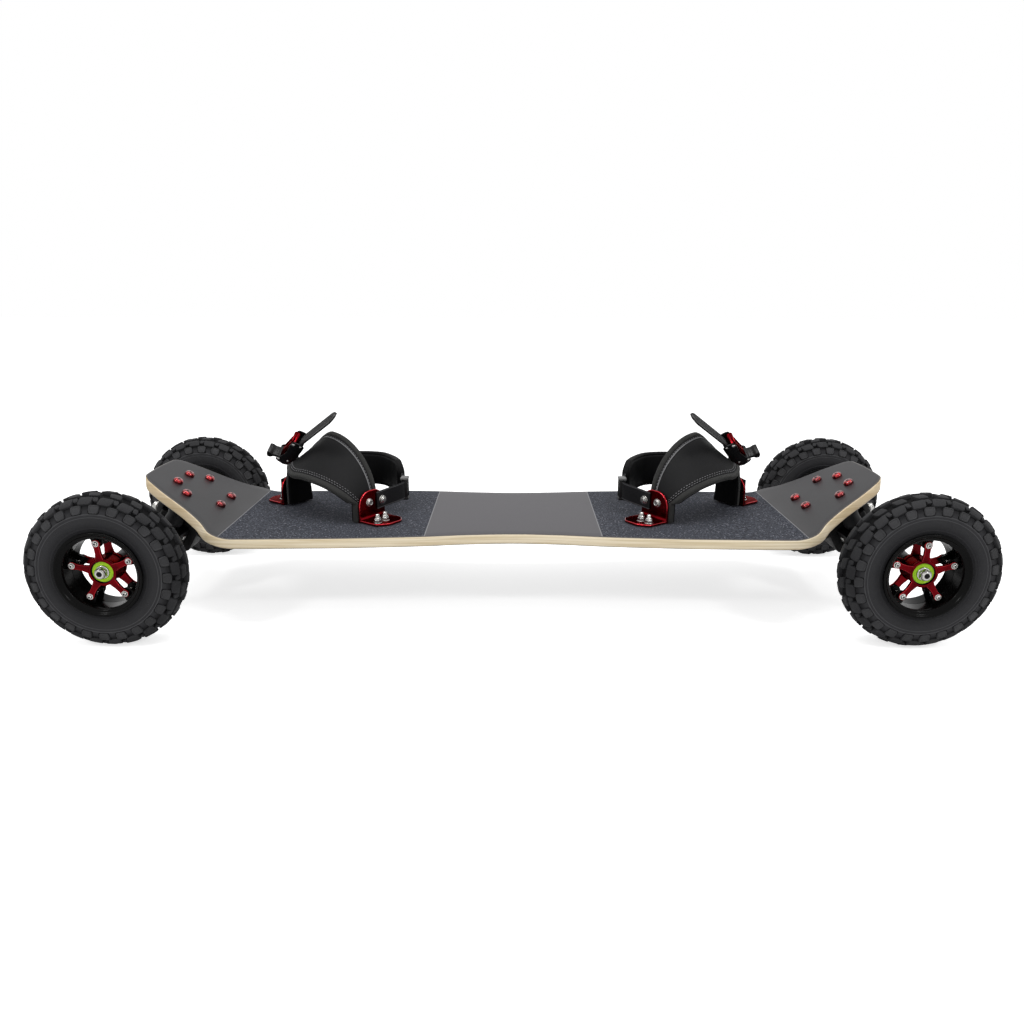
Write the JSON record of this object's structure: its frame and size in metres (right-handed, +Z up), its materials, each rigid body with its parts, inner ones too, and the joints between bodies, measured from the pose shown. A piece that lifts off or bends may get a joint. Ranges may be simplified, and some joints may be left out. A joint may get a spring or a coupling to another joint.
{
  "type": "mountainboard",
  "caption": "Off-road board with upturned deck tips, lean-to-steer trucks, knobbly pneumatic wheels on star hubs and ratchet foot bindings.",
  "frame": {"origin": "on the ground under the middle of the deck", "axes": "+X along the board to the right-hand truck, +Y to the far side, +Z up from the ground"},
  "size_m": [1.2214, 0.4124, 0.2714],
  "materials": {
    "deck_top": "laminated maple with a printed and gritted top",
    "red_anodised": "red anodised",
    "black_metal": "black satin",
    "steel": "zinc plated",
    "rubber": "moulded",
    "damper": "moulded elastomer",
    "black_plastic": "moulded",
    "padding": "stitched foam padding",
    "webbing": "woven webbing with a padded heel",
    "lime_seal": "bearing seal"
  },
  "bodies": {
    "board": {"deck": "deck_top", "truck_left_base_plate": "red_anodised", "truck_left_frame": "black_metal", "truck_left_kingpin": "steel", "truck_left_damper_near": "damper", "truck_left_damper_far": "damper", "binding_left_bracket_near": "red_anodised", "binding_left_bracket_far": "red_anodised", "binding_left_foot_pad": "padding", "binding_left_ladder_strap": "black_plastic", "binding_left_ratchet_body": "black_plastic", "binding_left_heel_strap": "webbing", "truck_right_base_plate": "red_anodised", "truck_right_frame": "black_metal", "truck_right_kingpin": "steel", "truck_right_damper_near": "damper", "truck_right_damper_far": "damper", "binding_right_bracket_near": "red_anodised", "binding_right_bracket_far": "red_anodised", "binding_right_foot_pad": "padding", "binding_right_ladder_strap": "black_plastic", "binding_right_ratchet_body": "black_plastic", "binding_right_heel_strap": "webbing"},
    "hanger_left": {"truck_left_hanger": "black_metal", "truck_left_axle": "steel", "wheel_left_near_axle_nut": "steel", "wheel_left_far_axle_nut": "steel"},
    "wheel_left_near": {"wheel_left_near_tyre": "rubber", "wheel_left_near_rim_outer": "black_metal", "wheel_left_near_rim_inner": "black_metal", "wheel_left_near_hub": "red_anodised", "wheel_left_near_bearing_outer": "lime_seal", "wheel_left_near_bearing_inner": "lime_seal"},
    "wheel_left_far": {"wheel_left_far_tyre": "rubber", "wheel_left_far_rim_outer": "black_metal", "wheel_left_far_rim_inner": "black_metal", "wheel_left_far_hub": "red_anodised", "wheel_left_far_bearing_outer": "lime_seal", "wheel_left_far_bearing_inner": "lime_seal"},
    "ratchet_lever_left": {"binding_left_ratchet_lever": "red_anodised"},
    "release_lever_left": {"binding_left_release_lever": "black_plastic"},
    "hanger_right": {"truck_right_hanger": "black_metal", "truck_right_axle": "steel", "wheel_right_near_axle_nut": "steel", "wheel_right_far_axle_nut": "steel"},
    "wheel_right_near": {"wheel_right_near_tyre": "rubber", "wheel_right_near_rim_outer": "black_metal", "wheel_right_near_rim_inner": "black_metal", "wheel_right_near_hub": "red_anodised", "wheel_right_near_bearing_outer": "lime_seal", "wheel_right_near_bearing_inner": "lime_seal"},
    "wheel_right_far": {"wheel_right_far_tyre": "rubber", "wheel_right_far_rim_outer": "black_metal", "wheel_right_far_rim_inner": "black_metal", "wheel_right_far_hub": "red_anodised", "wheel_right_far_bearing_outer": "lime_seal", "wheel_right_far_bearing_inner": "lime_seal"},
    "ratchet_lever_right": {"binding_right_ratchet_lever": "red_anodised"},
    "release_lever_right": {"binding_right_release_lever": "black_plastic"}
  },
  "joints": [
    {"name": "truck_left_lean", "type": "hinge", "parent": "board", "child": "hanger_left", "pos_m": [-0.49917, 0, 0.1199], "axis": [-0.8652, 0, 0.5015], "range_deg": [-13, 13], "stiffness_Nm_per_rad": 160, "deforming": ["truck_left_damper_near", "truck_left_damper_far"]},
    {"name": "wheel_left_near_spin", "type": "hinge", "parent": "hanger_left", "child": "wheel_left_near", "pos_m": [-0.5107, -0.18, 0.1], "axis": [0, 1, 0], "continuous": true},
    {"name": "wheel_left_far_spin", "type": "hinge", "parent": "hanger_left", "child": "wheel_left_far", "pos_m": [-0.5107, 0.18, 0.1], "axis": [0, 1, 0], "continuous": true},
    {"name": "ratchet_lever_left_lift", "type": "hinge", "parent": "board", "child": "ratchet_lever_left", "pos_m": [-0.31654, 0.02334, 0.22694], "axis": [0.1504, 0.8074, 0.5705], "range_deg": [0, 75], "stiffness_Nm_per_rad": 0.05, "springref_deg": -17.19},
    {"name": "release_lever_left_lift", "type": "hinge", "parent": "board", "child": "release_lever_left", "pos_m": [-0.34689, 0.04651, 0.20216], "axis": [0.1504, 0.8074, 0.5705], "range_deg": [0, 20], "stiffness_Nm_per_rad": 0.05, "springref_deg": -17.19},
    {"name": "truck_right_lean", "type": "hinge", "parent": "board", "child": "hanger_right", "pos_m": [0.49917, 0, 0.1199], "axis": [0.8652, 0, 0.5015], "range_deg": [-13, 13], "stiffness_Nm_per_rad": 160, "deforming": ["truck_right_damper_near", "truck_right_damper_far"]},
    {"name": "wheel_right_near_spin", "type": "hinge", "parent": "hanger_right", "child": "wheel_right_near", "pos_m": [0.5107, -0.18, 0.1], "axis": [0, 1, 0], "continuous": true},
    {"name": "wheel_right_far_spin", "type": "hinge", "parent": "hanger_right", "child": "wheel_right_far", "pos_m": [0.5107, 0.18, 0.1], "axis": [0, 1, 0], "continuous": true},
    {"name": "ratchet_lever_right_lift", "type": "hinge", "parent": "board", "child": "ratchet_lever_right", "pos_m": [0.31654, 0.02334, 0.22694], "axis": [0.1504, -0.8074, -0.5705], "range_deg": [0, 75], "stiffness_Nm_per_rad": 0.05, "springref_deg": -17.19},
    {"name": "release_lever_right_lift", "type": "hinge", "parent": "board", "child": "release_lever_right", "pos_m": [0.34689, 0.04651, 0.20216], "axis": [0.1504, -0.8074, -0.5705], "range_deg": [0, 20], "stiffness_Nm_per_rad": 0.05, "springref_deg": -17.19}
  ]
}
